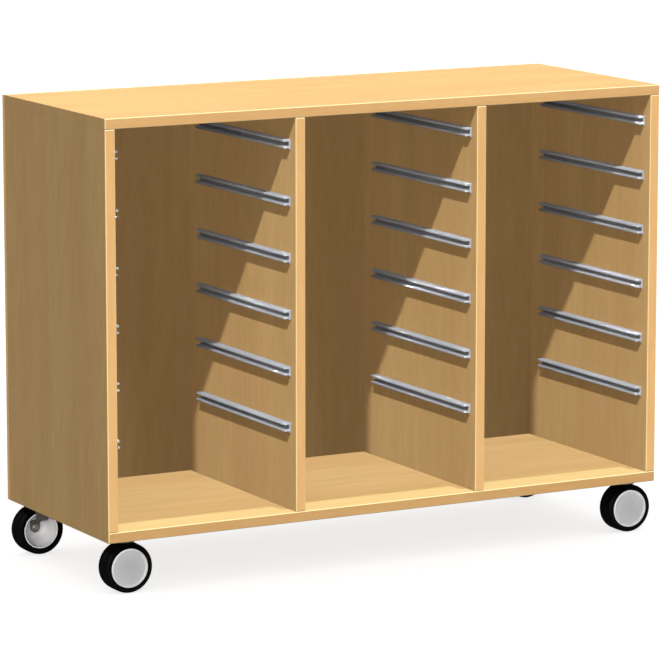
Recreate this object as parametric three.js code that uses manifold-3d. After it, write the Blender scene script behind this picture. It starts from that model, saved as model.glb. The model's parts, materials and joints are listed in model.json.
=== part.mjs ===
// A mobile classroom storage unit: three open bays of tray runners in a beech-effect board carcass
// that stands on four single-arm swivel castors.
// Millimetres, +Z up, front towards -Y, origin on the floor under the middle of the carcass.

import * as THREE from 'three';
import { mergeVertices } from 'three/addons/utils/BufferGeometryUtils.js';
import Module from 'manifold-3d';

// Carcass boards
const boardThickness = 18;
const backThickness = 8;
const bayCount = 3;
const bayWidth = 332;
const carcassDepth = 406;
const carcassHeight = 704;

// Rows of tray runners, measured down to the middle of a runner's slot
const rowCount = 6;
const rowPitch = 96;
const topRowDrop = 45;

// Tray runner: a channel that is open towards the bay, on a web that reaches down past its lower flange.
// The left-hand runners on the dividers start further back.
const runnerFrontInset = 18;
const dividerRunnerSetback = 10;
const runnerBackInset = 50;
const runnerReach = 13;
const runnerWeb = 3.5;
const upperFlange = 4;
const slotHeight = 7;
const lowerFlange = 4;
const runnerFoot = 2;
const noseEase = 1;
const noseSides = 2;

// Castor wheel: a dished hub, closed on one side, and a tyre that sits behind the hub's lip
const tyreWidth = 35;
const tyreWall = 9.5;
const tyreShoulder = 3.5;
const shoulderSides = 4;
const hubDiscDiameter = 66;
const hubLip = 1.5;
const hubLipThickness = 2;
const hubWall = 2.5;
const hubFloor = 4;
const hubDome = 1.5;
const domeSides = 3;
const hubBossDiameter = 18;
const hubBossHeight = 2;
const hubBoreCover = 1.5;
const wheelSides = 24;

// Castor arm, axle and swivel
const castorSideInset = 43;
const castorEndInset = 36;
const castorTrail = 4;
const armWidth = 28;
const armThickness = 4;
const armEndRise = 8;
const axleDiameter = 10;
const axleBoltDiameter = 16;
const axleBoltHeight = 3;
const swivelHeadDiameter = 42;
const swivelHeadThickness = 2.5;
const kingpinDiameter = 12;
const kingpinCapReach = 3;
const kingpinCapThickness = 0.9;
const mountingPlateDiameter = 46;
const mountingPlateWeb = 1.2;

// Clearances
const seatGap = 0.3;
const runningGap = 0.25;
const armToTyre = 2.5;
const armToDish = 3.5;
const headToTyre = 1.5;

// Sizes worked out from the ones above
const bayPitch = bayWidth + boardThickness;
const carcassWidth = bayCount * bayPitch + boardThickness;
const leftX = -carcassWidth / 2;
const rightX = carcassWidth / 2;
const frontY = -carcassDepth / 2;
const backY = carcassDepth / 2;
const backInnerY = backY - backThickness;

const slotBottom = runnerFoot + lowerFlange;
const runnerHeight = slotBottom + slotHeight + upperFlange;
const runnerFrontY = frontY + runnerFrontInset;
const runnerBackY = backInnerY - runnerBackInset;

const facet = Math.cos(Math.PI / wheelSides);
const halfWidth = tyreWidth / 2;
const hubDiscRadius = hubDiscDiameter / 2;
const hubRadius = hubDiscRadius - hubLip;
const dishRadius = hubRadius - hubWall;
const tyreRadius = hubDiscRadius + tyreWall;
const axleZ = tyreRadius;
const lipInner = -halfWidth + hubLipThickness;
const hubFloorInner = -halfWidth + hubFloor;
const hubBossEnd = hubFloorInner + hubBossHeight;
const hubBoreEnd = -halfWidth + hubBoreCover;

const armEndInner = hubBossEnd + seatGap;
const armEndOuter = armEndInner + armThickness;
const skirtInner = halfWidth + armToTyre;
const skirtOuter = skirtInner + armThickness;
const swivelHeadBottom = 2 * tyreRadius + headToTyre;
const swivelHeadTop = swivelHeadBottom + swivelHeadThickness;
const kingpinRadius = kingpinDiameter / 2;
const kingpinCapRadius = kingpinRadius + kingpinCapReach;
const plateBottom = swivelHeadTop + seatGap;
const plateCounterbore = plateBottom + mountingPlateWeb;
const kingpinCapBottom = plateCounterbore + seatGap;
const kingpinCapTop = kingpinCapBottom + kingpinCapThickness;
const castorHeight = kingpinCapTop + seatGap;

const baseTopZ = castorHeight + boardThickness;
const carcassTopZ = castorHeight + carcassHeight;
const topUndersideZ = carcassTopZ - boardThickness;

// Finishes
const beech = new THREE.MeshStandardMaterial({ color: 0xe3bd80, roughness: 0.5, metalness: 0 });
const aluminium = new THREE.MeshStandardMaterial({ color: 0xa6a9ae, roughness: 0.4, metalness: 0.9 });
const steel = new THREE.MeshStandardMaterial({ color: 0x8f9296, roughness: 0.35, metalness: 1 });
const rubber = new THREE.MeshStandardMaterial({ color: 0x141416, roughness: 0.6, metalness: 0 });
const greyPlastic = new THREE.MeshStandardMaterial({ color: 0xc8c8cc, roughness: 0.45, metalness: 0 });

const wasm = await Module();
wasm.setup();

const unit = new THREE.Group();

function addMesh(parent, name, geometry, material) {
  const mesh = new THREE.Mesh(geometry, material);
  mesh.name = name;
  parent.add(mesh);
  return mesh;
}

// A board between two opposite corners
function addBoard(name, low, high) {
  const geometry = new THREE.BoxGeometry(high[0] - low[0], high[1] - low[1], high[2] - low[2]);
  const board = addMesh(unit, name, geometry, beech);
  board.position.set((low[0] + high[0]) / 2, (low[1] + high[1]) / 2, (low[2] + high[2]) / 2);
}

// Points of an arc in degrees, both ends included
function arcPoints(centreX, centreY, radius, fromDegrees, toDegrees, sides) {
  const points = [];
  for (let i = 0; i <= sides; i += 1) {
    const angle = THREE.MathUtils.degToRad(fromDegrees + (toDegrees - fromDegrees) * i / sides);
    points.push(new THREE.Vector2(centreX + radius * Math.cos(angle), centreY + radius * Math.sin(angle)));
  }
  return points;
}

function addCarcass() {
  addBoard('base_panel', [leftX, frontY, castorHeight], [rightX, backInnerY, baseTopZ]);
  addBoard('top_panel', [leftX, frontY, topUndersideZ], [rightX, backInnerY, carcassTopZ]);
  addBoard('back_panel', [leftX, backInnerY, castorHeight], [rightX, backY, carcassTopZ]);
  for (let i = 0; i <= bayCount; i += 1) {
    const x = leftX + i * bayPitch;
    const name = i === 0 ? 'left_side_panel' : i === bayCount ? 'right_side_panel' : `divider_${i}`;
    addBoard(name, [x, frontY, baseTopZ], [x + boardThickness, backInnerY, topUndersideZ]);
  }
}

// Section of a runner, with its web on the board at x = 0 and its flanges reaching along +X or -X.
// Both edges of each flange's nose are eased.
function runnerSection(direction) {
  const slotTop = slotBottom + slotHeight;
  const noseX = runnerReach - noseEase;
  const outline = [
    new THREE.Vector2(0, 0),
    new THREE.Vector2(runnerWeb, 0),
    new THREE.Vector2(runnerWeb, runnerFoot),
    ...arcPoints(noseX, runnerFoot + noseEase, noseEase, -90, 0, noseSides),
    ...arcPoints(noseX, slotBottom - noseEase, noseEase, 0, 90, noseSides),
    new THREE.Vector2(runnerWeb, slotBottom),
    new THREE.Vector2(runnerWeb, slotTop),
    ...arcPoints(noseX, slotTop + noseEase, noseEase, -90, 0, noseSides),
    ...arcPoints(noseX, runnerHeight - noseEase, noseEase, 0, 90, noseSides),
    new THREE.Vector2(0, runnerHeight),
  ];
  return new THREE.Shape(outline.map((point) => new THREE.Vector2(direction * point.x, point.y)));
}

function addRunners() {
  const sides = [
    { name: 'left', direction: 1, offset: 0, setback: dividerRunnerSetback },
    { name: 'right', direction: -1, offset: bayWidth, setback: 0 },
  ];
  for (const side of sides) {
    const section = runnerSection(side.direction);
    for (let bay = 0; bay < bayCount; bay += 1) {
      const boardFaceX = leftX + boardThickness + bay * bayPitch + side.offset;
      const startY = runnerFrontY + (bay > 0 ? side.setback : 0);
      const options = { depth: runnerBackY - startY, bevelEnabled: false };
      const geometry = new THREE.ExtrudeGeometry(section, options).rotateX(Math.PI / 2);
      for (let row = 0; row < rowCount; row += 1) {
        const slotMiddleZ = topUndersideZ - topRowDrop - row * rowPitch;
        const runner = addMesh(unit, `bay_${bay + 1}_${side.name}_runner_${row + 1}`, geometry, aluminium);
        runner.position.set(boardFaceX, runnerBackY, slotMiddleZ - slotHeight / 2 - slotBottom);
      }
    }
  }
}

// A body turned about the Y axis from a profile of [radius, y] pairs. A flat facet lies at the bottom.
function turned(profile) {
  const points = profile.map(([radius, y]) => new THREE.Vector2(radius, y));
  return new THREE.LatheGeometry(points, wheelSides, Math.PI / wheelSides);
}

// A body turned about the Z axis from a profile of [radius, z] pairs
function turnedUpright(profile) {
  return turned(profile).rotateX(Math.PI / 2);
}

// The tyre closes on itself and has a recess for the hub's lip. Its facets reach the tyre's radius.
function tyreGeometry() {
  const inner = hubRadius + seatGap;
  const recess = hubDiscRadius + seatGap;
  const shoulder = Math.min(tyreShoulder, tyreWall - 2 * seatGap, halfWidth - hubLipThickness);
  const shoulderCentre = tyreRadius - shoulder;
  const closedShoulder = arcPoints(shoulderCentre, shoulder - halfWidth, shoulder, -90, 0, shoulderSides);
  const openShoulder = arcPoints(shoulderCentre, halfWidth - shoulder, shoulder, 0, 90, shoulderSides);
  const profile = [
    [inner, lipInner],
    [recess, lipInner],
    [recess, -halfWidth],
    ...closedShoulder.map((point) => [point.x, point.y]),
    ...openShoulder.map((point) => [point.x, point.y]),
    [inner, halfWidth],
    [inner, lipInner],
  ];
  return turned(profile.map(([radius, y]) => [radius / facet, y]));
}

// The hub is a deep dish: a domed disc with a lip on the closed side, and a blind bore on the inside
function hubGeometry() {
  const boreRadius = axleDiameter / 2 + runningGap;
  const dome = [];
  for (let i = 0; i <= domeSides; i += 1) {
    const share = i / domeSides;
    dome.push([hubDiscRadius * share, -halfWidth - hubDome * (1 - share * share)]);
  }
  const profile = [
    ...dome,
    [hubDiscRadius, lipInner],
    [hubRadius, lipInner],
    [hubRadius, halfWidth],
    [dishRadius, halfWidth],
    [dishRadius, hubFloorInner],
    [hubBossDiameter / 2, hubFloorInner],
    [hubBossDiameter / 2, hubBossEnd],
    [boreRadius, hubBossEnd],
    [boreRadius, hubBoreEnd],
    [0, hubBoreEnd],
  ];
  return turned(profile.map(([radius, y]) => [radius / facet, y]));
}

// A closed geometry as a solid that can be joined: corners merged and empty triangles dropped
function solidOf(geometry) {
  geometry.deleteAttribute('normal');
  geometry.deleteAttribute('uv');
  const merged = mergeVertices(geometry);
  const index = merged.index.array;
  const triangles = [];
  for (let i = 0; i < index.length; i += 3) {
    const [a, b, c] = index.slice(i, i + 3);
    if (a !== b && b !== c && c !== a) {
      triangles.push(a, b, c);
    }
  }
  const vertProperties = new Float32Array(merged.attributes.position.array);
  const triVerts = new Uint32Array(triangles);
  return new wasm.Manifold(new wasm.Mesh({ numProp: 3, vertProperties, triVerts }));
}

function geometryOf(solid) {
  const mesh = solid.getMesh();
  const geometry = new THREE.BufferGeometry();
  geometry.setAttribute('position', new THREE.BufferAttribute(new Float32Array(mesh.vertProperties), 3));
  geometry.setIndex(new THREE.BufferAttribute(new Uint32Array(mesh.triVerts), 1));
  const faceted = geometry.toNonIndexed();
  faceted.computeVertexNormals();
  return faceted;
}

// Swivel head with its kingpin, whose riveted cap lies in the mounting plate's counterbore
function swivelHeadGeometry() {
  const profile = [
    [0, swivelHeadBottom],
    [swivelHeadDiameter / 2, swivelHeadBottom],
    [swivelHeadDiameter / 2, swivelHeadTop],
    [kingpinRadius, swivelHeadTop],
    [kingpinRadius, kingpinCapBottom],
    [kingpinCapRadius, kingpinCapBottom],
    [kingpinCapRadius, kingpinCapTop],
    [0, kingpinCapTop],
  ];
  return turnedUpright(profile).translate(-castorTrail, 0, 0);
}

// Bent strap: out over the tyre, down past its open face and slanting into the dish to the axle
function strapGeometry() {
  const bend = armThickness;
  const halfArm = armWidth / 2;
  const entryTop = axleZ + Math.sqrt((dishRadius - armToDish) ** 2 - halfArm ** 2);
  const slant = Math.atan2(entryTop - axleZ - armEndRise, skirtInner - armEndInner);
  const slantHeight = armThickness / Math.cos(slant);
  const outline = [
    [0, swivelHeadTop],
    [skirtOuter - bend, swivelHeadTop],
    [skirtOuter, swivelHeadTop - bend],
    [skirtOuter, entryTop - slantHeight],
    [armEndOuter, axleZ + armEndRise],
    [armEndOuter, axleZ],
    [armEndInner, axleZ],
    [armEndInner, axleZ + armEndRise + slantHeight],
    [skirtInner, entryTop],
    [skirtInner, swivelHeadBottom],
    [0, swivelHeadBottom],
  ];
  const shape = new THREE.Shape(outline.map(([y, z]) => new THREE.Vector2(y, z)));
  const strap = new THREE.ExtrudeGeometry(shape, { depth: armWidth, bevelEnabled: false });
  return strap.rotateZ(Math.PI / 2).rotateY(Math.PI / 2).translate(-halfArm, 0, 0);
}

// The strap's round end, the axle that reaches into the hub's bore, and the axle's bolt head
function axleGeometry() {
  const profile = [
    [0, hubBoreEnd + seatGap],
    [axleDiameter / 2, hubBoreEnd + seatGap],
    [axleDiameter / 2, armEndInner],
    [armWidth / 2, armEndInner],
    [armWidth / 2, armEndOuter],
    [axleBoltDiameter / 2, armEndOuter],
    [axleBoltDiameter / 2, armEndOuter + axleBoltHeight],
    [0, armEndOuter + axleBoltHeight],
  ];
  return turned(profile).translate(0, 0, axleZ);
}

function armGeometry() {
  const strap = solidOf(strapGeometry());
  const head = solidOf(swivelHeadGeometry());
  const axle = solidOf(axleGeometry());
  return geometryOf(strap.add(head).add(axle));
}

// Round mounting plate that screws to the base, with the kingpin's hole and counterbore
function mountingPlateGeometry() {
  const hole = (kingpinRadius + runningGap) / facet;
  const counterbore = (kingpinCapRadius + runningGap) / facet;
  const profile = [
    [hole, plateBottom],
    [mountingPlateDiameter / 2, plateBottom],
    [mountingPlateDiameter / 2, castorHeight],
    [counterbore, castorHeight],
    [counterbore, plateCounterbore],
    [hole, plateCounterbore],
    [hole, plateBottom],
  ];
  return turnedUpright(profile).translate(-castorTrail, 0, 0);
}

// Each castor is the same assembly. Front ones have their closed disc to the front, rear ones to the back.
function addCastors() {
  const plate = mountingPlateGeometry();
  const arm = armGeometry();
  const tyre = tyreGeometry();
  const hub = hubGeometry();
  const swivelX = rightX - castorSideInset;
  const swivelY = backY - castorEndInset;
  const places = [
    { name: 'front_left', x: -swivelX, y: -swivelY, turn: 0 },
    { name: 'front_right', x: swivelX, y: -swivelY, turn: 0 },
    { name: 'rear_left', x: -swivelX, y: swivelY, turn: Math.PI },
    { name: 'rear_right', x: swivelX, y: swivelY, turn: Math.PI },
  ];
  for (const place of places) {
    const castor = new THREE.Group();
    castor.position.set(place.x, place.y, 0);
    castor.rotation.z = place.turn;
    const axleGroup = new THREE.Group();
    axleGroup.position.set(castorTrail, 0, 0);
    castor.add(axleGroup);
    addMesh(axleGroup, `${place.name}_castor_plate`, plate, steel);
    addMesh(axleGroup, `${place.name}_castor_arm`, arm, steel);
    addMesh(axleGroup, `${place.name}_tyre`, tyre, rubber).position.z = axleZ;
    addMesh(axleGroup, `${place.name}_wheel_hub`, hub, greyPlastic).position.z = axleZ;
    unit.add(castor);
  }
}

addCarcass();
addRunners();
addCastors();

export default unit;
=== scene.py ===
"""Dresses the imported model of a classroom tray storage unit: eased boards with edge strips, channel runners,
screws and single-arm castors, on a plain pale stage. Lengths are in metres."""

import json
import math
import typing

import bmesh
import bpy
import numpy as np
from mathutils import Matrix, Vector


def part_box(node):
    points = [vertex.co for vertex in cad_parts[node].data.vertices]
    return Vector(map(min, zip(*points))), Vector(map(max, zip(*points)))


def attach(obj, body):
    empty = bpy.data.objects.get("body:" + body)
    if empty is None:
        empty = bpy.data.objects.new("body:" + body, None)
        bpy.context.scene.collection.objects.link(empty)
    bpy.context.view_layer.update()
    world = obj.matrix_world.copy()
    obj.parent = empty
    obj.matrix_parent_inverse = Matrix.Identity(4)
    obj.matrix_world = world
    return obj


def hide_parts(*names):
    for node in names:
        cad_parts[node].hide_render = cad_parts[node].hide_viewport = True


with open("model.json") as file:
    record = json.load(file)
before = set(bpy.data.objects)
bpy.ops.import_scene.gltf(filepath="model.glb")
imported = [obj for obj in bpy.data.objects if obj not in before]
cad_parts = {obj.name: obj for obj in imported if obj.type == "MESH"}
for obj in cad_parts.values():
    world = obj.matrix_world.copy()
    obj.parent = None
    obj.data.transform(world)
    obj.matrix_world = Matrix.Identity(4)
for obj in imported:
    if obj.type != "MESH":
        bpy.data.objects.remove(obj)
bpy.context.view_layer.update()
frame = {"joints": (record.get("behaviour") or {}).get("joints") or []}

bl_info = {
    "name": "Classroom tray storage unit",
    "version": (1, 0, 0),
    "blender": (4, 5, 0),
    "location": "View3D > Sidebar > Tray unit",
    "description": "Finished boards, runners, castors and stage for a mobile tray storage unit",
    "category": "Object",
}

MM = 0.001
# The point attribute that places painted highlights and shade
TONE = "tone"
CABINET = "cabinet"
CORNERS = ("front_left", "front_right", "rear_left", "rear_right")
BAYS = (1, 2, 3)
ROWS = (1, 2, 3, 4, 5, 6)
X_AXIS, Y_AXIS, Z_AXIS = 0, 1, 2

# Points this close are merged, and edges this sharp are creased
MERGE_DISTANCE = 0.001 * MM
CREASE_ANGLE = math.radians(38)

# Steps round the turned pieces
WHEEL_STEPS = 96
PLATE_STEPS = 64
ARM_END_STEPS = 48
BOLT_STEPS = 40

# Painted shade: how light a runner's lower lip is beside its upper one, standing in for the upper lip's shadow
LOWER_LIP_PAINTED_SHADE = 0.65

# Where a castor arm's lower end lies, from the wheel's middle towards its open side, and its edge radius
ARM_FOOT = -9.2 * MM
ARM_EDGE = 0.8 * MM

# How far the camera sees
CAMERA_REACH = 200

# Which way each board's grain runs, and which of its edges carry a strip
BOARDS = {
    "top_panel": (X_AXIS, ("front", "left", "right")),
    "base_panel": (X_AXIS, ("front", "left", "right")),
    "left_side_panel": (Z_AXIS, ("front",)),
    "right_side_panel": (Z_AXIS, ("front",)),
    "divider_1": (Z_AXIS, ("front",)),
    "divider_2": (Z_AXIS, ("front",)),
    "back_panel": (Z_AXIS, ()),
}

# Every runner, with the way along X that its channel opens
RUNNER_NODES = {
    f"bay_{bay}_{side}_runner_{row}": way
    for bay in BAYS
    for row in ROWS
    for side, way in (("left", 1), ("right", -1))
}


class StudioLight(typing.NamedTuple):
    """A distant light: the way it shines, its spread in degrees, the objects that it alone lights or leaves
    out, its colour, and whether it passes through the unit and casts no shadow. A light with a place is a
    square panel there instead, and its spread is the panel's side in metres."""

    way: tuple
    spread: float
    only: tuple = ()
    without: tuple = ()
    colour: tuple = (1, 1, 1)
    through: bool = False
    place: tuple = ()


FLOOR = ("floor",)
TOP = ("top_board",)
BASE = ("base_board",)
RUNNERS = tuple(node.replace("runner", "channel") for node in RUNNER_NODES)
HUBS = tuple(f"{corner}_hub" for corner in CORNERS)
BOLTS = tuple(f"{corner}_axle_bolt" for corner in CORNERS)
WARM = (1, 0.93, 0.85)
PALE = (0.65, 1, 1)
REAR = ("back_board", "back_screws", "right_side_board", "top_right_strip", "base_right_strip")
OUTER_LEFT = ("left_side_board", "top_left_strip", "base_left_strip")
LIGHTS = {
    "key_light": StudioLight((0.44, 0.5, -0.75), 1.5, without=FLOOR + BASE + HUBS),
    "front_light": StudioLight((-0.3, 0.5, -0.82), 30, without=FLOOR + BASE + HUBS),
    "bay_light": StudioLight((0.72, 0.65, -0.1), 35, without=FLOOR + OUTER_LEFT, colour=WARM, through=True),
    "base_light": StudioLight((0, 0.122, -1), 20, only=BASE, through=True),
    # A far panel, because a sun that lights one board alone is lost in some renders
    "overhead_light": StudioLight((0, 0.122, -1), 0.52, only=TOP, place=(0, -3.63, 30.6)),
    "threshold_light": StudioLight((0, 0.088, -1), 1, only=BASE, colour=PALE),
    "runner_light": StudioLight((0.44, 0.5, -0.75), 1.5, only=RUNNERS),
    "fitting_light": StudioLight((0.4, 0.5, -0.75), 20, only=RUNNERS, through=True),
    "hub_light": StudioLight((0.45, 0.8, -0.35), 40, only=HUBS + BOLTS, through=True),
    "rear_light": StudioLight((-1.6, -4.2, -1.95), 2, only=REAR + HUBS, place=(1.6, 4.2, 2.4)),
    "floor_light": StudioLight((0.1, 0.2, -1), 150, only=FLOOR),
}


def length(name, description, default):
    """A size that a user would change, in metres."""
    return bpy.props.FloatProperty(
        name=name, description=description, default=default, min=0, precision=4, unit="LENGTH"
    )


def colour(name, description, default):
    """A surface colour that a user would change, in linear light."""
    return bpy.props.FloatVectorProperty(
        name=name, description=description, default=default, min=0, max=1, subtype="COLOR"
    )


def amount(name, description, default):
    """A plain number from nothing upwards."""
    return bpy.props.FloatProperty(name=name, description=description, default=default, min=0)


def angle(name, description, degrees):
    """An angle that a user would change."""
    return bpy.props.FloatProperty(
        name=name, description=description, default=math.radians(degrees), subtype="ANGLE"
    )


class TrayUnitSizes(bpy.types.PropertyGroup):
    """Sizes of the fine shapes that the boards, runners and castors carry."""

    strip: length("Edge strip", "Thickness of the strip glued to a board's edge", 2 * MM)
    strip_ease: length("Strip edge radius", "Radius that the strips are eased to", 1.6 * MM)
    board_ease: length("Board edge radius", "Radius of a board's other edges", 0.5 * MM)
    runner_web: length("Runner web", "Thickness of the runner's upright wall", 3.5 * MM)
    runner_upper: length("Runner upper lip", "Thickness of the runner's upper lip", 4 * MM)
    runner_lower: length("Runner lower lip", "Thickness of the runner's lower lip", 4 * MM)
    runner_foot: length("Runner foot", "How far the runner's web reaches below its lower lip", 2 * MM)
    runner_chamfer: length("Runner end chamfer", "Chamfer round the runner's sawn ends", 0.4 * MM)
    runner_screw: length("Runner screw", "Diameter of a screw head in a runner", 5.6 * MM)
    back_screw: length("Back screw", "Diameter of a screw head in the back panel", 8 * MM)
    back_screw_pitch: length("Back screw pitch", "Widest spacing of the back panel's screws", 170 * MM)
    tread_groove: length("Tread groove", "Width of the groove round the tyre", 3 * MM)
    hub_disc: length("Hub disc", "Diameter of the wheel hub's closed disc", 66 * MM)
    arm_width: length("Arm width", "Width of the castor's bent strap", 28 * MM)
    arm_end: length("Arm end", "Width of the strap at the axle", 17 * MM)
    arm_thickness: length("Arm thickness", "Thickness of the castor's bent strap", 4 * MM)
    axle_bolt: length("Axle bolt", "Width across the axle bolt's head", 13 * MM)
    swivel_head: length("Swivel head", "Diameter of the castor's swivel head", 42 * MM)


class TrayUnitColours(bpy.types.PropertyGroup):
    """Colours of the finishes."""

    beech_light: colour("Beech, light", "Pale grain of the board", (0.67, 0.435, 0.19))
    beech_dark: colour("Beech, dark", "Dark grain of the board", (0.555, 0.345, 0.134))
    beech_pink: colour("Beech, pink", "Pinker bands across the board", (0.645, 0.395, 0.175))
    strip_light: colour("Edge strip, light", "Pale grain of the edge strips", (0.68, 0.412, 0.172))
    strip_dark: colour("Edge strip, dark", "Dark grain of the edge strips", (0.60, 0.345, 0.13))
    # Painted highlight: the pale colour put on the strips' eased edges, where two faces meet
    strip_arris: colour("Edge strip, arris", "Scraped edges of the edge strips", (0.86, 0.70, 0.38))
    top_strip_shade: amount("Top strip", "How light the strip along the top is", 0.9)
    # Painted shade: darkens the strip along the base, standing in for the dimmer light there
    base_strip_shade: amount("Base strip", "How light the strip along the base is", 0.78)
    aluminium: colour("Runner aluminium", "Satin aluminium of the runners", (0.74, 0.78, 0.85))
    zinc: colour("Castor steel", "Zinc plated steel of the castors", (0.40, 0.38, 0.35))
    rubber: colour("Tyre rubber", "Rubber of the tyres", (0.0012, 0.0012, 0.0014))
    plastic: colour("Hub plastic", "Moulded plastic of the hubs", (0.47, 0.47, 0.48))
    floor: colour("Floor", "Floor of the stage", (0.92, 0.92, 0.92))


class TrayUnitStage(bpy.types.PropertyGroup):
    """Camera and lights of the stage."""

    camera_place: bpy.props.FloatVectorProperty(
        name="Camera place",
        description="Where the camera stands",
        default=(-3.3511, -6.1377, 1.5699),
        subtype="TRANSLATION",
        unit="LENGTH",
    )
    camera_heading: angle("Camera heading", "Turn from straight ahead towards the unit's right", 28.57)
    camera_tilt: angle("Camera tilt", "Tilt below level", 9.69)
    camera_lens: amount("Camera lens", "Focal length in millimetres on a 36 mm sensor", 222.5)
    floor_width: length("Floor width", "Side of the square floor", 60.0)
    key_strength: amount("Key light", "Light from the upper left", 2.9)
    front_strength: amount("Front light", "Light from the front right", 3.0)
    bay_strength: amount("Bay light", "Light into the bays from the front left", 1.62)
    base_strength: amount("Base light", "Light that falls on the base alone", 3.85)
    overhead_strength: amount("Overhead light", "Watts of the far panel above the top", 2488)
    threshold_strength: amount("Threshold light", "Light along the base's front", 2.2)
    runner_strength: amount("Runner light", "What the runners get beside the key light", 2.5)
    fitting_strength: amount("Fitting light", "Even light on the runners", 0.45)
    hub_strength: amount("Hub light", "Even light on the wheel hubs", 2.3)
    rear_strength: amount("Rear light", "Watts of the panel that lights the back and the right side", 115)
    floor_strength: amount("Floor light", "Broad light on the floor alone", 1.0)
    sky_strength: amount("Sky", "Even light from all round", 0.11)


class Wire:
    """A shader socket whose arithmetic adds Math nodes."""

    def __init__(self, finish, socket):
        self.finish = finish
        self.socket = socket

    def math(self, operation, first, second):
        return self.finish.node("ShaderNodeMath", {"operation": operation}, {0: first, 1: second})

    def __add__(self, other):
        return self.math("ADD", self, other)

    def __radd__(self, other):
        return self.math("ADD", other, self)

    def __mul__(self, other):
        return self.math("MULTIPLY", self, other)

    def __rmul__(self, other):
        return self.math("MULTIPLY", other, self)


class Finish:
    """A material with a Principled shader, and one method that adds any other node."""

    def __init__(self, name):
        self.material = bpy.data.materials.new(name)
        self.material.use_nodes = True
        self.tree = self.material.node_tree
        self.tree.nodes.clear()
        self.shader = self.tree.nodes.new("ShaderNodeBsdfPrincipled")
        output = self.tree.nodes.new("ShaderNodeOutputMaterial")
        self.tree.links.new(self.shader.outputs[0], output.inputs[0])

    def feed(self, socket, value):
        """A link from a wire, or a plain value on the socket itself."""
        if isinstance(value, Wire):
            self.tree.links.new(value.socket, socket)
        elif socket.type == "RGBA":
            socket.default_value = (*value, 1)
        else:
            socket.default_value = value

    def node(self, kind, settings, inputs, output=0):
        """Any node: its type, its settings, and the values or links of its sockets."""
        made = self.tree.nodes.new(kind)
        for name, value in settings.items():
            setattr(made, name, value)
        for key, value in inputs.items():
            self.feed(made.inputs[key], value)
        return Wire(self, made.outputs[output])

    def stretched_noise(self, scale, detail, shift=0.0):
        """Noise whose grains are long where the scale is small: noise of place times scale, plus a shift."""
        place = self.node("ShaderNodeTexCoord", {}, {}, "Object")
        spread = self.node("ShaderNodeVectorMath", {"operation": "MULTIPLY"}, {0: place, 1: scale})
        shifted = self.node("ShaderNodeVectorMath", {"operation": "ADD"}, {0: spread, 1: (shift,) * 3})
        inputs = {"Vector": shifted, "Scale": 1.0, "Detail": detail, "Roughness": 0.55}
        return self.node("ShaderNodeTexNoise", {}, inputs, "Fac")

    def span(self, value, low, high):
        """The value's place between low and high, held between 0 and 1."""
        return self.node("ShaderNodeMapRange", {}, {"Value": value, "From Min": low, "From Max": high})

    def mix(self, share, first, second):
        """A colour between two others."""
        return self.node("ShaderNodeMix", {"data_type": "RGBA"}, {0: share, 6: first, 7: second}, 2)

    def tone(self):
        """The tone, from 0 to 1, that a piece carries on its points; it places the painted highlights and
        shade.
        """
        return self.node("ShaderNodeAttribute", {"attribute_name": TONE}, {}, "Fac")

    def bump(self, height, distance):
        return self.node("ShaderNodeBump", {}, {"Height": height, "Distance": distance})

    def done(self, sockets):
        """Feeds the shader's sockets by name and returns the material."""
        for name, value in sockets.items():
            self.feed(self.shader.inputs[name], value)
        return self.material


def shaded(base, share):
    """A colour made darker or paler by a share."""
    return tuple(min(1.0, share * channel) for channel in base)


def beech(name, grain, light, dark, pink, arris_highlight=None):
    """Beech-effect laminate: soft bands, a finer figure, fibres and short flecks along the grain. The arris
    highlight colour, where given, is a painted highlight that shows where the piece's tone is high."""
    finish = Finish(name)

    def grains(along, across, detail, shift=0.0):
        scale = [across] * 3
        scale[grain] = along
        return finish.stretched_noise(tuple(scale), detail, shift)

    bands = grains(along=0.9, across=16, detail=2.0)
    tint = grains(along=1.3, across=9, detail=1.0, shift=7.3)
    figure = grains(along=11, across=75, detail=3.0, shift=3.1)
    fibres = grains(along=30, across=520, detail=2.0, shift=5.7)
    flecks = finish.span(grains(along=160, across=900, detail=0.0, shift=1.9), 0.62, 0.74)
    tone = finish.span(bands * 0.8 + figure * 0.9 + fibres * 0.6 + flecks * 0.3, 0.85, 1.55)
    warm = finish.mix(finish.span(tint, 0.42, 0.62), light, pink)
    wood = finish.mix(tone, warm, dark)
    return finish.done({
        "Base Color": finish.mix(finish.tone(), wood, arris_highlight) if arris_highlight else wood,
        "Roughness": 0.46 + fibres * 0.16,
        "Specular IOR Level": 0.25,
        "Normal": finish.bump(fibres + figure * 0.5, 0.04 * MM),
    })


def satin_aluminium(name, base):
    """Extruded aluminium with fine drawn lines along its length, with painted shade: darker where the piece's
    tone is low, in the channel's hollow.
    """
    finish = Finish(name)
    lines = finish.stretched_noise((1500, 3, 1500), 2.0)
    clouds = finish.stretched_noise((14, 6, 14), 2.0, 2.2)
    lips = finish.mix(finish.span(clouds, 0.35, 0.65), base, shaded(base, 0.85))
    # Painted shade: the hollow's colour is the aluminium at about a third of its brightness
    return finish.done({
        "Base Color": finish.mix(finish.tone(), shaded(base, 0.34), lips),
        "Metallic": 0.2,
        "Roughness": 0.5 + lines * 0.18,
        "Normal": finish.bump(lines, 0.02 * MM),
    })


def zinc_steel(name, base):
    """Zinc plated steel: a faint spangle and uneven gloss."""
    finish = Finish(name)
    spangle = finish.stretched_noise((260, 260, 260), 2.0)
    stains = finish.stretched_noise((45, 45, 45), 3.0, 4.4)
    return finish.done({
        "Base Color": finish.mix(finish.span(stains, 0.4, 0.7), base, shaded(base, 0.7)),
        "Metallic": 0.8,
        "Roughness": 0.3 + spangle * 0.2,
        "Normal": finish.bump(spangle, 0.02 * MM),
    })


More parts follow.
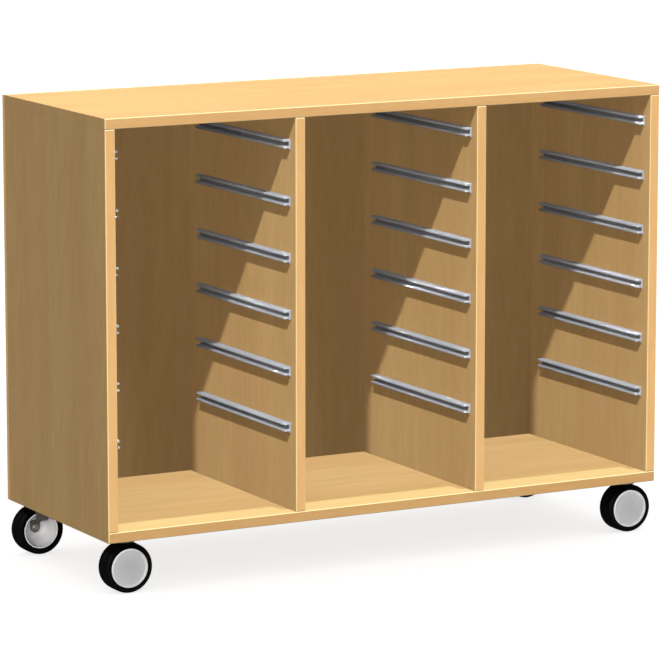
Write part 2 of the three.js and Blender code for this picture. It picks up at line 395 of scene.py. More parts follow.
def matt_rubber(name, base):
    """Near black rubber with a dusty, uneven sheen."""
    finish = Finish(name)
    dust = finish.stretched_noise((60, 60, 60), 4.0)
    grit = finish.stretched_noise((900, 900, 900), 1.0, 2.7)
    dusty = tuple(channel + 0.001 for channel in base)
    return finish.done({
        "Base Color": finish.mix(finish.span(dust, 0.45, 0.75), base, dusty),
        "Roughness": 0.5 + dust * 0.2,
        "Specular IOR Level": 0.08,
        "Normal": finish.bump(grit, 0.05 * MM),
    })


def moulded_plastic(name, base):
    """Moulded plastic with a faint eggshell texture, with painted light: paler where the piece's tone is high,
    towards the hub's rim.
    """
    finish = Finish(name)
    flow = finish.stretched_noise((35, 35, 35), 2.0)
    eggshell = finish.stretched_noise((1100, 1100, 1100), 1.0, 1.3)
    disc = finish.mix(finish.span(flow, 0.35, 0.65), base, shaded(base, 0.94))
    # Painted light: the plastic is made paler towards the rim by the piece's tone
    return finish.done({
        "Base Color": finish.mix(finish.tone(), disc, shaded(base, 1.65)),
        "Roughness": 0.36 + flow * 0.12,
        "Normal": finish.bump(eggshell, 0.01 * MM),
    })


def matt_floor(name, base):
    """Plain matt floor, lit a little from within so that shadows on it stay faint."""
    sockets = {"Base Color": base, "Roughness": 0.9, "Emission Color": base, "Emission Strength": 0.83}
    return Finish(name).done(sockets)


def grid_faces(rows, columns, close_rows=False):
    """Quads of a grid: each joins a point to the next column and the next row. The columns close to a ring,
    and so do the rows where asked."""
    steps = rows if close_rows else rows - 1
    row, column = np.meshgrid(np.arange(steps), np.arange(columns), indexing="ij")
    next_row = (row + 1) % rows
    next_column = (column + 1) % columns
    corners = [
        row * columns + column,
        row * columns + next_column,
        next_row * columns + next_column,
        next_row * columns + column,
    ]
    return np.stack(corners, axis=-1).reshape(-1, 4).tolist()


def joined(shapes):
    """One shape from several: the points in one list, each face counted on from the shapes before it."""
    points = []
    faces = []
    count = 0
    for shape_points, shape_faces in shapes:
        points.append(shape_points)
        faces.extend([[corner + count for corner in face] for face in shape_faces])
        count += len(shape_points)
    return np.concatenate(points), faces


def add_piece(name, shape, material, body, replaced=(), normals=None, tone=None):
    """A finished piece: merged where its points meet, faces outward, creased where faces meet sharply.
    Normals and tone, where given, are functions of the points."""
    points, faces = shape
    mesh = bpy.data.meshes.new(name)
    mesh.from_pydata(points.reshape(-1, 3).tolist(), [], faces)
    work = bmesh.new()
    work.from_mesh(mesh)
    bmesh.ops.remove_doubles(work, verts=work.verts, dist=MERGE_DISTANCE)
    bmesh.ops.recalc_face_normals(work, faces=work.faces)
    work.to_mesh(mesh)
    work.free()
    mesh.shade_smooth()
    mesh.set_sharp_from_angle(angle=CREASE_ANGLE)
    flat = np.empty(len(mesh.vertices) * 3)
    mesh.vertices.foreach_get("co", flat)
    if not np.isfinite(flat).all():
        raise ValueError(f"{name} has points that are not numbers")
    if normals:
        mesh.normals_split_custom_set_from_vertices(normals(flat.reshape(-1, 3)))
    if tone:
        values = tone(flat.reshape(-1, 3))
        mesh.attributes.new(TONE, "FLOAT", "POINT").data.foreach_set("value", values)
    mesh.materials.append(material)
    piece = bpy.data.objects.new(name, mesh)
    bpy.context.scene.collection.objects.link(piece)
    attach(piece, body)
    if replaced:
        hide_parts(*replaced)
    return piece


def eased_block(low, high, radius, steps=4):
    """A block with eased edges: a ball of the edge radius, cut at its middle planes and pulled apart to the
    block's corners. A point at latitude a and longitude b is its corner's centre plus radius times
    direction."""
    low, high = np.array(low), np.array(high)
    quarter = np.linspace(0, math.pi / 2, steps + 1)
    longitude = (np.arange(4)[:, None] * math.pi / 2 + quarter).ravel()
    latitude = np.concatenate([quarter - math.pi / 2, quarter])
    a, b = np.meshgrid(latitude, longitude, indexing="ij")
    middle = (low + high) / 2
    reach = (high - low) / 2 - radius
    side_x = np.repeat([1, -1, -1, 1], steps + 1)
    side_y = np.repeat([1, 1, -1, -1], steps + 1)
    side_z = np.repeat([-1, 1], steps + 1)[:, None]
    x = middle[0] + side_x * reach[0] + radius * np.cos(a) * np.cos(b)
    y = middle[1] + side_y * reach[1] + radius * np.cos(a) * np.sin(b)
    z = middle[2] + side_z * reach[2] + radius * np.sin(a)
    points = np.stack([x, y, z], axis=-1).reshape(-1, 3)
    rows, columns = a.shape
    bottom = np.arange(4) * (steps + 1)
    top = bottom + (rows - 1) * columns
    return points, grid_faces(rows, columns) + [bottom.tolist(), top.tolist()]


def block_normals(low, high, radius):
    """Normals of an eased block: each point's way out from the block shrunk by the edge radius. Points within
    the shrunk block lie on a glued face, and look back."""
    inner_low = np.array(low) + radius
    inner_high = np.array(high) - radius

    def outward(points):
        away = points - np.clip(points, inner_low, inner_high)
        away[np.linalg.norm(away, axis=1) < radius / 2] = (0, 1, 0)
        return away / np.linalg.norm(away, axis=1, keepdims=True)

    return outward


def front_strip(low, high, radius):
    """An edge strip: an eased block that is longer at the back by twice the edge radius, cut off flat at the
    glued face. Returns its shape, its normals and its tone, a painted highlight which is high where two faces
    meet."""
    longer = np.array(high) + np.array([0, 2 * radius, 0])
    points, faces = eased_block(low, longer, radius)
    points[:, Y_AXIS] = np.minimum(points[:, Y_AXIS], high[Y_AXIS])
    normals = block_normals(low, longer, radius)

    # Painted highlight: high on the eased edges, where two faces meet
    def arris_highlight(places):
        sharpness = 1.6
        return np.clip(sharpness * np.sort(np.abs(normals(places)), axis=1)[:, 1], 0, 1)

    return (points, faces), normals, arris_highlight


def rounded_outline(corners, radii, steps=6):
    """An outline whose corners are arcs: each swings between the points where it touches the two sides."""
    corners = np.array(corners, float)
    radii = np.array(radii, float)[:, None]
    back = np.roll(corners, 1, axis=0) - corners
    ahead = np.roll(corners, -1, axis=0) - corners
    back /= np.linalg.norm(back, axis=1, keepdims=True)
    ahead /= np.linalg.norm(ahead, axis=1, keepdims=True)
    half = np.arccos(np.clip((back * ahead).sum(axis=1, keepdims=True), -1, 1)) / 2
    bisector = back + ahead
    bisector /= np.linalg.norm(bisector, axis=1, keepdims=True)
    centre = corners + bisector * radii / np.sin(half)
    start = corners + back * radii / np.tan(half) - centre
    end = corners + ahead * radii / np.tan(half) - centre
    swing = math.pi - 2 * half
    share = np.linspace(0, 1, steps + 1)
    first = (np.sin((1 - share) * swing) / np.sin(swing))[:, :, None]
    second = (np.sin(share * swing) / np.sin(swing))[:, :, None]
    arcs = centre[:, None] + first * start[:, None] + second * end[:, None]
    return arcs.reshape(-1, 2)


def pulled_in(outline, distance):
    """The outline moved inwards by a distance, along the way across its own line."""
    ahead = np.roll(outline, -1, axis=0)
    behind = np.roll(outline, 1, axis=0)
    way = ahead - behind
    across = np.stack([-way[:, 1], way[:, 0]], axis=1)
    across /= np.maximum(np.linalg.norm(across, axis=1, keepdims=True), 1e-12)
    turn = np.sign((outline[:, 0] * ahead[:, 1] - ahead[:, 0] * outline[:, 1]).sum())
    return outline + across * distance * turn


def swept(sections):
    """A tube through sections of equal count, closed round each section and capped at both ends."""
    rows, columns = len(sections), len(sections[0])
    faces = grid_faces(rows, columns)
    first_cap = list(range(columns))
    last_cap = list(range((rows - 1) * columns, rows * columns))
    return np.concatenate(sections), faces + [first_cap[::-1], last_cap]


def turned(profile, segments, closed):
    """A profile of (radius, distance along the axis) turned about the Z axis: the point at angle t is
    (radius cos t, radius sin t, distance)."""
    swing = np.arange(segments) * 2 * math.pi / segments
    radius, along = np.array(profile).T[:, :, None]
    x = radius * np.cos(swing)
    y = radius * np.sin(swing)
    z = along + np.zeros(segments)
    points = np.stack([x, y, z], axis=-1).reshape(-1, 3)
    return points, grid_faces(len(profile), segments, close_rows=closed)


def laid(shape, centre, way):
    """An upright shape with its axis laid along X or Y, the given way, and moved to a centre."""
    points, faces = shape
    x, y, z = points.T
    axis, sign = way
    if axis == X_AXIS:
        placed = np.stack([sign * z, sign * x, y], axis=1)
    else:
        placed = np.stack([sign * x, sign * z, y], axis=1)
    return placed + np.array(centre), faces


def moved(shape, offset):
    """A shape moved by an offset."""
    points, faces = shape
    return points + np.array(offset), faces


def screw_head(diameter, rise, rings=4, spokes=16):
    """A domed screw head with a cross recess: height = rise (1 - r squared), less a four-lobed dip near the
    middle whose depth follows cos 4t. Its skirt goes down below its seat."""
    dip_reach, dip_depth, dip_floor = 0.7, 1.4, 0.35
    share, swing = np.meshgrid(
        np.linspace(0, 1, rings + 1), np.arange(spokes) * 2 * math.pi / spokes, indexing="ij"
    )
    lobes = 0.5 + 0.5 * np.cos(4 * swing)
    dip = np.clip(1 - share / dip_reach, 0, 1) * (dip_floor + (1 - dip_floor) * lobes)
    z = rise * (1 - share**2) - dip_depth * rise * dip
    x = share * diameter / 2 * np.cos(swing)
    y = share * diameter / 2 * np.sin(swing)
    dome = np.stack([x, y, z], axis=-1)
    skirt = dome[-1:] - np.array([0, 0, rise])
    points = np.concatenate([dome, skirt]).reshape(-1, 3)
    cap = list(range((rings + 1) * spokes, (rings + 2) * spokes))
    return points, grid_faces(rings + 2, spokes) + [cap]


def finish_material(name, make, *values):
    """The named material, made once."""
    return bpy.data.materials.get(name) or make(name, *values)


def beech_material(grain):
    """The boards' finish, with its grain along an axis."""
    colours = bpy.context.scene.tray_unit_colours
    name = "beech_" + "xyz"[grain]
    tones = (colours.beech_light, colours.beech_dark, colours.beech_pink)
    return finish_material(name, beech, grain, *[tuple(tone) for tone in tones])


def strip_material(node, grain):
    """The finish of a board's front strip: darker along the top than on the uprights, and darker still along
    the base, where it is painted shade.
    """
    colours = bpy.context.scene.tray_unit_colours
    shades = {"top_panel": colours.top_strip_shade, "base_panel": colours.base_strip_shade}
    name = f"{node.replace('_panel', '')}_strip" if node in shades else "upright_strip"
    light, dark = (shaded(tone, shades.get(node, 1)) for tone in (colours.strip_light, colours.strip_dark))
    return finish_material(name, beech, grain, light, dark, light, tuple(colours.strip_arris))


def plain_material(name, make, colour_name):
    """The named material in one of the unit's colours."""
    base = tuple(getattr(bpy.context.scene.tray_unit_colours, colour_name))
    return finish_material(name, make, base)


def zinc_material():
    """The finish of the screws and the castors' steel."""
    return plain_material("zinc_steel", zinc_steel, "zinc")


def joint_place(name):
    """Where a joint's axis passes."""
    return next(np.array(joint["pos_m"]) for joint in frame["joints"] if joint["name"] == name)


def middle_of(node):
    """The middle of a node's box."""
    low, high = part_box(node)
    return (low + high) / 2


def board_core(node, strips, strip):
    """The board's box less the strips on its edges."""
    low, high = (np.array(corner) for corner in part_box(node))
    low[Y_AXIS] += strip * ("front" in strips)
    low[X_AXIS] += strip * ("left" in strips)
    high[X_AXIS] -= strip * ("right" in strips)
    return low, high


def strip_box(node, edge, strip):
    """The box of one edge strip. The front strip covers the ends of the side strips."""
    low, high = (np.array(corner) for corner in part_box(node))
    if edge == "front":
        high[Y_AXIS] = low[Y_AXIS] + strip
        return low, high
    low[Y_AXIS] += strip
    if edge == "left":
        high[X_AXIS] = low[X_AXIS] + strip
    else:
        low[X_AXIS] = high[X_AXIS] - strip
    return low, high


class TRAYUNIT_OT_boards(bpy.types.Operator):
    """Makes the eased boards of the carcass"""

    bl_idname = "trayunit.boards"
    bl_label = "Boards"

    def execute(self, context):
        sizes = context.scene.tray_unit_sizes
        for node, (grain, strips) in BOARDS.items():
            name = node.replace("_panel", "") + "_board"
            low, high = board_core(node, strips, sizes.strip)
            shape = eased_block(low, high, sizes.board_ease)
            normals = block_normals(low, high, sizes.board_ease)
            add_piece(name, shape, beech_material(grain), CABINET, [node], normals)
        return {"FINISHED"}


class TRAYUNIT_OT_edge_strips(bpy.types.Operator):
    """Makes the strips along the boards' edges"""

    bl_idname = "trayunit.edge_strips"
    bl_label = "Edge strips"

    def execute(self, context):
        sizes = context.scene.tray_unit_sizes
        for node, (_, strips) in BOARDS.items():
            for edge in strips:
                name = f"{node.replace('_panel', '')}_{edge}_strip"
                low, high = strip_box(node, edge, sizes.strip)
                if edge == "front":
                    grain = int(np.argmax(high - low))
                    # The front strip's tone is a painted highlight on its eased edges
                    shape, normals, arris_highlight = front_strip(low, high, sizes.strip_ease)
                    material = strip_material(node, grain)
                else:
                    shape = eased_block(low, high, sizes.board_ease)
                    normals, arris_highlight = block_normals(low, high, sizes.board_ease), None
                    material = beech_material(Z_AXIS)
                add_piece(name, shape, material, CABINET, normals=normals, tone=arris_highlight)
        return {"FINISHED"}


def runner_web_face(low, high, way, sizes):
    """Where the slot's upright face stands."""
    return low.x + sizes.runner_web if way > 0 else high.x - sizes.runner_web


def runner_shape(low, high, way, sizes):
    """A channel carried from the front to the back: its outline of two lips with eased noses on a web, pulled
    in by the chamfer at both ends."""
    reach, _, height = high - low
    web, foot = sizes.runner_web, sizes.runner_foot
    slot_bottom = foot + sizes.runner_lower
    slot_top = height - sizes.runner_upper
    corners = [
        (0, 0),
        (web, 0),
        (web, foot),
        (reach, foot),
        (reach, slot_bottom),
        (web, slot_bottom),
        (web, slot_top),
        (reach, slot_top),
        (reach, height),
        (0, height),
    ]
    edge, fillet, nose = 0.45 * MM, 0.9 * MM, 1 * MM
    radii = [edge, edge, fillet, nose, nose, fillet, fillet, nose, nose, edge]
    outline = rounded_outline(corners, radii)
    chamfer = sizes.runner_chamfer
    end = pulled_in(outline, chamfer)
    base_x = low.x if way > 0 else high.x
    stations = [(low.y, end), (low.y + chamfer, outline), (high.y - chamfer, outline), (high.y, end)]
    sections = [
        np.stack([base_x + way * line[:, 0], np.full(len(line), y), low.z + line[:, 1]], axis=1)
        for y, line in stations
    ]
    return swept(sections)


class TRAYUNIT_OT_runners(bpy.types.Operator):
    """Makes the channel runners that the trays slide in"""

    bl_idname = "trayunit.runners"
    bl_label = "Runners"

    def execute(self, context):
        sizes = context.scene.tray_unit_sizes
        material = plain_material("satin_aluminium", satin_aluminium, "aluminium")
        for node, way in RUNNER_NODES.items():
            low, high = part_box(node)
            shape = runner_shape(low, high, way, sizes)
            web_face = runner_web_face(low, high, way, sizes)
            nose = high.x - low.x - sizes.runner_web

            def outward(points):
                """Painted shade: rises from the web to the lips' noses, darker on the lower lip. It is full on
                the sawn ends and above the slot.
                """
                x, y, z = points.T
                sawn = np.minimum(y - low.y, high.y - y) < sizes.runner_chamfer / 2
                above = z > high.z - sizes.runner_upper + sizes.runner_chamfer
                depth = np.clip(way * (x - web_face) / nose, 0, 1)
                lower = z < low.z + sizes.runner_foot + sizes.runner_lower
                return np.where(sawn | above, 1, depth * np.where(lower, LOWER_LIP_PAINTED_SHADE, 1))

            name = node.replace("runner", "channel")
            piece = add_piece(name, shape, material, CABINET, [node], tone=outward)
            piece.modifiers.new("Even shading", "WEIGHTED_NORMAL").keep_sharp = True
        return {"FINISHED"}


class TRAYUNIT_OT_runner_screws(bpy.types.Operator):
    """Makes the screws that hold the runners to the boards"""

    bl_idname = "trayunit.runner_screws"
    bl_label = "Runner screws"

    def execute(self, context):
        sizes = context.scene.tray_unit_sizes
        rise, end_inset, count = 0.6 * MM, 42 * MM, 3
        head = screw_head(sizes.runner_screw, rise, rings=3, spokes=12)
        heads = []
        for node, way in RUNNER_NODES.items():
            low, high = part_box(node)
            web_face = runner_web_face(low, high, way, sizes)
            slot_middle = (low.z + sizes.runner_foot + sizes.runner_lower + high.z - sizes.runner_upper) / 2
            for y in np.linspace(low.y + end_inset, high.y - end_inset, count):
                heads.append(laid(head, (web_face, y, slot_middle), (X_AXIS, way)))
        add_piece("runner_screws", joined(heads), zinc_material(), CABINET)
        return {"FINISHED"}


def screw_line(start, end, pitch):
    """Points from start to end, evenly spaced and no further apart than the pitch."""
    start, end = np.array(start), np.array(end)
    count = math.ceil(np.linalg.norm(end - start) / pitch) + 1
    return start + (end - start) * np.linspace(0, 1, count)[:, None]


class TRAYUNIT_OT_back_screws(bpy.types.Operator):
    """Makes the screws that hold the back panel to the boards in front of it"""

    bl_idname = "trayunit.back_screws"
    bl_label = "Back panel screws"

    def execute(self, context):
        sizes = context.scene.tray_unit_sizes
        pitch, rise = sizes.back_screw_pitch, 0.5 * MM
        _, back_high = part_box("back_panel")
        top, base = (middle_of(node).z for node in ("top_panel", "base_panel"))
        boards = ("left_side_panel", "divider_1", "divider_2", "right_side_panel")
        uprights = [middle_of(node).x for node in boards]
        lines = [screw_line((uprights[0], z), (uprights[-1], z), pitch) for z in (top, base)]
        lines += [screw_line((x, base), (x, top), pitch)[1:-1] for x in uprights]
        head = screw_head(sizes.back_screw, rise)
        heads = [laid(head, (x, back_high.y, z), (Y_AXIS, 1)) for x, z in np.concatenate(lines)]
        add_piece("back_screws", joined(heads), zinc_material(), CABINET)
        return {"FINISHED"}


def castor_side(corner):
    """The way from the wheel's closed disc to its open face: to the back for a front castor."""
    return 1 if corner.startswith("front") else -1


def tyre_profile(radius, half, sizes):
    """The tyre's outline, as (radius, distance along the axle): round shoulders, a tread that rises to the
    groove round its middle, and a seat for the hub's disc."""
    groove = sizes.tread_groove / 2
    groove_floor = 0.6 * groove
    lip = sizes.hub_disc / 2 + 0.3 * MM
    bore = lip - 1.5 * MM
    edge, floor, lip_depth = radius - 0.4 * MM, radius - 0.9 * MM, 2.1 * MM
    corners = [
        (lip, -half),
        (edge, -half),
        (radius, -groove),
        (floor, -groove_floor),
        (floor, groove_floor),
        (radius, groove),
        (edge, half),
        (bore, half),
        (bore, lip_depth - half),
        (lip, lip_depth - half),
    ]
    inner, shoulder, brink, bottom, seat = 0.5, 3.4, 0.4, 0.3, 0.2
    radii = [inner, shoulder, brink, bottom, bottom, brink, shoulder, inner, seat, seat]
    return rounded_outline(corners, np.array(radii) * MM, steps=8)


class TRAYUNIT_OT_tyres(bpy.types.Operator):
    """Makes the tyres, with their round shoulders and tread groove"""

    bl_idname = "trayunit.tyres"
    bl_label = "Tyres"

    def execute(self, context):
        sizes = context.scene.tray_unit_sizes
        material = plain_material("matt_rubber", matt_rubber, "rubber")
        for corner in CORNERS:
            node = f"{corner}_tyre"
            low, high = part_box(node)
            axle = joint_place(f"{corner}_wheel_roll")
            profile = tyre_profile(axle[Z_AXIS] - low.z, (high.y - low.y) / 2, sizes)
            shape = laid(turned(profile, WHEEL_STEPS, True), axle, (Y_AXIS, castor_side(corner)))
            add_piece(f"{corner}_rubber", shape, material, f"{corner}_wheel", [node])
        return {"FINISHED"}


def hub_profile(rim, half):
    """The hub's outline in millimetres, as (radius, distance along the axle): a rimmed disc, a barrel, and a
    bowl that opens on the other side round a boss. The bowl's distance is floor + depth (1 - sqrt(1 - s
    cubed)), where s is the radius as a share of the bowl's mouth."""
    steps, bowl_steps = 6, 18
    disc, valley, crest, barrel, mouth, boss = rim - 6.5, rim - 4.5, rim - 3, rim - 1.5, rim - 3.2, 9
    crown_rise, disc_rise, valley_rise, crest_rise, rim_rise = 1.2, 0.7, 0.6, 1.5, 1.3
    rim_back, floor, boss_top, open_face = -half + 2, -half + 4, -half + 6, half - 0.6
    corners = [
        (0, -half - crown_rise),
        (disc, -half - disc_rise),
        (valley, -half - valley_rise),
        (crest, -half - crest_rise),
        (rim, -half - rim_rise),
        (rim, rim_back),
        (barrel, rim_back),
        (barrel, open_face),
        (0, open_face),
    ]
    radii = [0, 4, 2, 1.5, 1.2, 0.4, 0.2, 0.6, 0]
    shell = rounded_outline(corners, radii, steps)[: -(steps + 1)]
    share = np.cos(np.linspace(0, math.acos(boss / mouth), bowl_steps))
    depth = open_face - floor
    bowl = np.stack([mouth * share, floor + depth * (1 - np.sqrt(1 - share**3))], axis=1)
    return np.concatenate([shell, bowl, [(boss, boss_top), (0, boss_top)]]) * MM


class TRAYUNIT_OT_hubs(bpy.types.Operator):
    """Makes the wheel hubs: a rimmed disc on one side and an open bowl on the other"""

    bl_idname = "trayunit.hubs"
    bl_label = "Wheel hubs"

    def execute(self, context):
        material = plain_material("moulded_plastic", moulded_plastic, "plastic")
        rim = context.scene.tray_unit_sizes.hub_disc / 2 / MM
        painted_light_band = 12
        for corner in CORNERS:
            low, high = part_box(f"{corner}_tyre")
            axle = joint_place(f"{corner}_wheel_roll")
            half = (high.y - low.y) / 2 / MM
            profile = hub_profile(rim, half)
            shape = laid(turned(profile, WHEEL_STEPS, False), axle, (Y_AXIS, castor_side(corner)))

            def painted_rim_light(points):
                """Painted light: rises towards the rim, across the band."""
                x, _, z = (points - axle).T
                radius = np.hypot(x, z) / MM
                return np.clip((radius - rim + painted_light_band) / painted_light_band, 0, 1) ** 2

            wheel = f"{corner}_wheel"
            add_piece(f"{corner}_hub", shape, material, wheel, [wheel + "_hub"], tone=painted_rim_light)
        return {"FINISHED"}


def bent_path(corners, radii, steps=8):
    """The corners of an open path turned into arcs, each point once."""
    path = rounded_outline(corners, radii, steps)
    step = np.linalg.norm(np.diff(path, axis=0), axis=1)
    return path[np.append(True, step > MERGE_DISTANCE)]


def strap_shape(path, widths, thickness, edge):
    """A flat bar carried along a bent path in the Y-Z plane: each section lies across the path, the bar's
    width along X and its thickness across the path. The width goes evenly from the first to the last."""
    ahead = np.gradient(path, axis=0)
    ahead /= np.linalg.norm(ahead, axis=1, keepdims=True)
    across = np.stack([-ahead[:, 1], ahead[:, 0]], axis=1)
    travel = np.append(0, np.cumsum(np.linalg.norm(np.diff(path, axis=0), axis=1)))
    half_widths = np.interp(travel, [0, travel[-1]], widths) / 2
    half = thickness / 2
    sections = []
    for point, normal, half_width in zip(path, across, half_widths):
        corners = [(-half_width, -half), (half_width, -half), (half_width, half), (-half_width, half)]
        bar = rounded_outline(corners, [edge] * 4, steps=4)
        sections.append(np.column_stack([bar[:, 0], point + bar[:, 1:] * normal]))
    return swept(sections)


def spun(shape, centre, side):
    """A castor shape turned to face its side about an upright axis, and moved to the castor's place."""
    points, faces = shape
    return points * np.array([side, side, 1]) + np.array([*centre[:2], 0]), faces


def arm_strap(head_top, skirt, axle_height, sizes):
    """The arm's bent strap: out under the swivel head, down past the wheel's open side, in and down to the
    axle, with an arc at each bend."""
    start, upper_bend, lower_bend, bend_radius = 8 * MM, 20 * MM, 11 * MM, 5 * MM
    level = head_top - sizes.arm_thickness / 2
    corners = [
        (start, level),
        (skirt, level),
        (skirt, axle_height + upper_bend),
        (ARM_FOOT, axle_height + lower_bend),
        (ARM_FOOT, axle_height),
    ]
    path = bent_path(corners, [0, bend_radius, bend_radius, bend_radius, 0])
    return strap_shape(path, (sizes.arm_width, sizes.arm_end), sizes.arm_thickness, ARM_EDGE)


def disc_outline(radius, bottom, top, lower_edge, upper_edge, steps):
    """The outline of a flat disc, as (radius, distance along its axis), with its two edges eased."""
    corners = [(0, bottom), (radius, bottom), (radius, top), (0, top)]
    return rounded_outline(corners, [0, lower_edge, upper_edge, 0], steps)


def arm_round_end(axle_height, sizes):
    """The strap's round end: a disc as thick as the strap, with its axis along the axle."""
    half = sizes.arm_thickness / 2
    outline = disc_outline(sizes.arm_end / 2, ARM_FOOT - half, ARM_FOOT + half, ARM_EDGE, ARM_EDGE, 4)
    return laid(turned(outline, ARM_END_STEPS, False), (0, 0, axle_height), (Y_AXIS, 1))


def swivel_pan(head_top, trail, diameter):
    """The swivel head: a flat disc under the plate, with its axis on the swivel's."""
    depth, lower_edge, upper_edge = 2.5 * MM, 1.1 * MM, 0.8 * MM
    outline = disc_outline(diameter / 2, head_top - depth, head_top, lower_edge, upper_edge, 5)
    return moved(turned(outline, PLATE_STEPS, False), (trail, 0, 0))


def bolt_head(axle_height, sizes):
    """The axle bolt's round head on a washer, with a shallow dished top, seated on the strap's end."""
    radius, height = sizes.axle_bolt / 2, 3 * MM
    corners = [
        (0, 0),
        (radius, 0),
        (radius, 0.35 * height),
        (0.72 * radius, 0.4 * height),
        (0.68 * radius, height),
        (0.35 * radius, height),
        (0, 0.8 * height),
    ]
    radii = np.array([0, 0.02, 0.1, 0.05, 0.2, 0.3, 0]) * height
    shape = turned(rounded_outline(corners, radii, steps=4), BOLT_STEPS, False)
    return laid(shape, (0, ARM_FOOT + sizes.arm_thickness / 2, axle_height), (Y_AXIS, 1))


class TRAYUNIT_OT_castor_arms(bpy.types.Operator):
    """Makes the castors' bent arms, with their swivel heads and axle bolts"""

    bl_idname = "trayunit.castor_arms"
    bl_label = "Castor arms"

    def execute(self, context):
        sizes = context.scene.tray_unit_sizes
        head_clearance = 0.3 * MM
        material = zinc_material()
        for corner in CORNERS:
            side = castor_side(corner)
            axle = joint_place(f"{corner}_wheel_roll")
            swivel = joint_place(f"{corner}_castor_swivel")
            node = f"{corner}_castor_arm"
            arm_low, arm_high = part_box(node)
            plate_low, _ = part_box(f"{corner}_castor_plate")
            reach = arm_high.y - axle[Y_AXIS] if side > 0 else axle[Y_AXIS] - arm_low.y
            skirt = reach - sizes.arm_thickness / 2
            head_top = plate_low.z - head_clearance
            trail = (swivel[X_AXIS] - axle[X_AXIS]) * side
            axle_height = axle[Z_AXIS]
            pieces = {
                "arm": (arm_strap(head_top, skirt, axle_height, sizes), [node]),
                "arm_end": (arm_round_end(axle_height, sizes), []),
                "swivel_head": (swivel_pan(head_top, trail, sizes.swivel_head), []),
                "axle_bolt": (bolt_head(axle_height, sizes), []),
            }
            for name, (shape, replaced) in pieces.items():
                placed = spun(shape, axle, side)
                add_piece(f"{corner}_{name}", placed, material, f"{corner}_swivel", replaced)
        return {"FINISHED"}


class TRAYUNIT_OT_castor_plates(bpy.types.Operator):
    """Makes the round plates that fix the castors to the base"""

    bl_idname = "trayunit.castor_plates"
    bl_label = "Castor plates"

    def execute(self, context):
        material = zinc_material()
        hole, lower_edge, edge = 6.5 * MM, 1.2 * MM, 0.2 * MM
        for corner in CORNERS:
            node = f"{corner}_castor_plate"
            low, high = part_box(node)
            radius = (high.x - low.x) / 2
            corners = [(hole, low.z), (radius, low.z), (radius, high.z), (hole, high.z)]
            profile = rounded_outline(corners, [edge, lower_edge, edge, edge], steps=5)
            shape = moved(turned(profile, PLATE_STEPS, True), (*middle_of(node).xy, 0))
            add_piece(f"{corner}_plate", shape, material, CABINET, [node])
        return {"FINISHED"}


def aim(lamp, direction):
    """Turns a light to shine along a direction: dropped from straight down, then headed round."""
    x, y, z = np.array(direction) / np.linalg.norm(direction)
    lamp.rotation_euler = (math.acos(-z), 0, -math.atan2(x, y))


def light_group(name, members, state):
    """A collection of objects that a light includes or excludes."""
    group = bpy.data.collections.new(name)
    for member in members:
        group.objects.link(bpy.data.objects[member])
    for member in group.collection_objects:
        member.light_linking.link_state = state
    return group


def link_light(lamp, plan):
    """Limits a light to the objects in its plan, or keeps it off them, as a studio's flags do."""
    state = "INCLUDE" if plan.only else "EXCLUDE"
    lamp.light_linking.receiver_collection = light_group(lamp.name + "_lit", plan.only or plan.without, state)
    if plan.through:
        lamp.light_linking.blocker_collection = light_group(lamp.name + "_shade", FLOOR, "INCLUDE")


def add_lamp(name, plan, strength):
    """One of the stage's lights."""
    light = bpy.data.lights.new(name, "AREA" if plan.place else "SUN")
    light.energy = strength
    if plan.place:
        light.size = plan.spread
    else:
        light.angle = math.radians(plan.spread)
    light.color = plan.colour
    light.cycles.max_bounces = 0
    lamp = bpy.data.objects.new(name, light)
    lamp.location = plan.place or (0, 0, 0)
    lamp.visible_camera = False
    aim(lamp, plan.way)
    bpy.context.scene.collection.objects.link(lamp)
    link_light(lamp, plan)
    return lamp


def add_floor(width):
    """The square floor. It neither lights the unit nor shows in it."""
    half = width / 2
    corners = [(-half, -half, 0), (half, -half, 0), (half, half, 0), (-half, half, 0)]
    mesh = bpy.data.meshes.new("floor")
    mesh.from_pydata(corners, [], [[0, 1, 2, 3]])
    material = plain_material("matt_floor", matt_floor, "floor")
    material.cycles.emission_sampling = "NONE"
    mesh.materials.append(material)
    floor = bpy.data.objects.new("floor", mesh)
    bpy.context.scene.collection.objects.link(floor)
    floor.visible_diffuse = False
    floor.visible_glossy = False
    return floor


def add_sky(strength):
    """An even white sky all round."""
    world = bpy.data.worlds.new("studio")
    world.use_nodes = True
    background = world.node_tree.nodes["Background"]
    background.inputs["Color"].default_value = (1, 1, 1, 1)
    background.inputs["Strength"].default_value = strength
    world.cycles.sampling_method = "NONE"
    bpy.context.scene.world = world


def add_camera(stage):
    """The camera, turned from straight ahead and tilted down."""
    lens = bpy.data.cameras.new("camera")
    lens.lens = stage.camera_lens
    lens.clip_end = CAMERA_REACH
    camera = bpy.data.objects.new("camera", lens)
    camera.location = stage.camera_place
    camera.rotation_euler = (math.pi / 2 - stage.camera_tilt, 0, -stage.camera_heading)
    bpy.context.scene.collection.objects.link(camera)
    bpy.context.scene.camera = camera


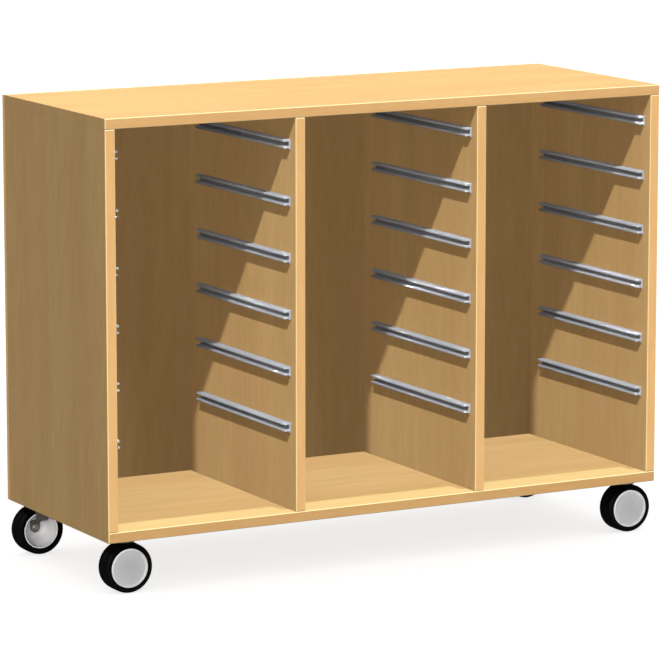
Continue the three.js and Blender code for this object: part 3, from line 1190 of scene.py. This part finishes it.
class TRAYUNIT_OT_stage(bpy.types.Operator):
    """Makes the floor, the lights and the camera"""

    bl_idname = "trayunit.stage"
    bl_label = "Stage"

    def execute(self, context):
        stage = context.scene.tray_unit_stage
        made = [add_floor(stage.floor_width)]
        for name, plan in LIGHTS.items():
            made.append(add_lamp(name, plan, getattr(stage, name.replace("light", "strength"))))
        add_sky(stage.sky_strength)
        add_camera(stage)
        context.scene.view_settings.view_transform = "Standard"
        return {"FINISHED"}


class TRAYUNIT_PT_panel(bpy.types.Panel):
    """Lists the unit's pieces, sizes and colours"""

    bl_idname = "TRAYUNIT_PT_panel"
    bl_label = "Tray unit"
    bl_space_type = "VIEW_3D"
    bl_region_type = "UI"
    bl_category = "Tray unit"

    def draw(self, context):
        layout = self.layout
        for operator in OPERATORS:
            layout.operator(operator.bl_idname)
        for group_name, group in GROUPS.items():
            box = layout.box()
            for name in group.__annotations__:
                box.prop(getattr(context.scene, group_name), name)


GROUPS = {
    "tray_unit_sizes": TrayUnitSizes,
    "tray_unit_colours": TrayUnitColours,
    "tray_unit_stage": TrayUnitStage,
}
OPERATORS = (
    TRAYUNIT_OT_boards,
    TRAYUNIT_OT_edge_strips,
    TRAYUNIT_OT_runners,
    TRAYUNIT_OT_runner_screws,
    TRAYUNIT_OT_back_screws,
    TRAYUNIT_OT_tyres,
    TRAYUNIT_OT_hubs,
    TRAYUNIT_OT_castor_arms,
    TRAYUNIT_OT_castor_plates,
    TRAYUNIT_OT_stage,
)


def register():
    for name, group in GROUPS.items():
        bpy.utils.register_class(group)
        setattr(bpy.types.Scene, name, bpy.props.PointerProperty(type=group))
    for part in (*OPERATORS, TRAYUNIT_PT_panel):
        bpy.utils.register_class(part)


def unregister():
    for part in (TRAYUNIT_PT_panel, *OPERATORS):
        bpy.utils.unregister_class(part)
    for name, group in GROUPS.items():
        delattr(bpy.types.Scene, name)
        bpy.utils.unregister_class(group)


def main():
    register()
    bpy.ops.trayunit.boards()
    bpy.ops.trayunit.edge_strips()
    bpy.ops.trayunit.runners()
    bpy.ops.trayunit.runner_screws()
    bpy.ops.trayunit.back_screws()
    bpy.ops.trayunit.tyres()
    bpy.ops.trayunit.hubs()
    bpy.ops.trayunit.castor_arms()
    bpy.ops.trayunit.castor_plates()
    bpy.ops.trayunit.stage()


if __name__ == "__main__":
    main()
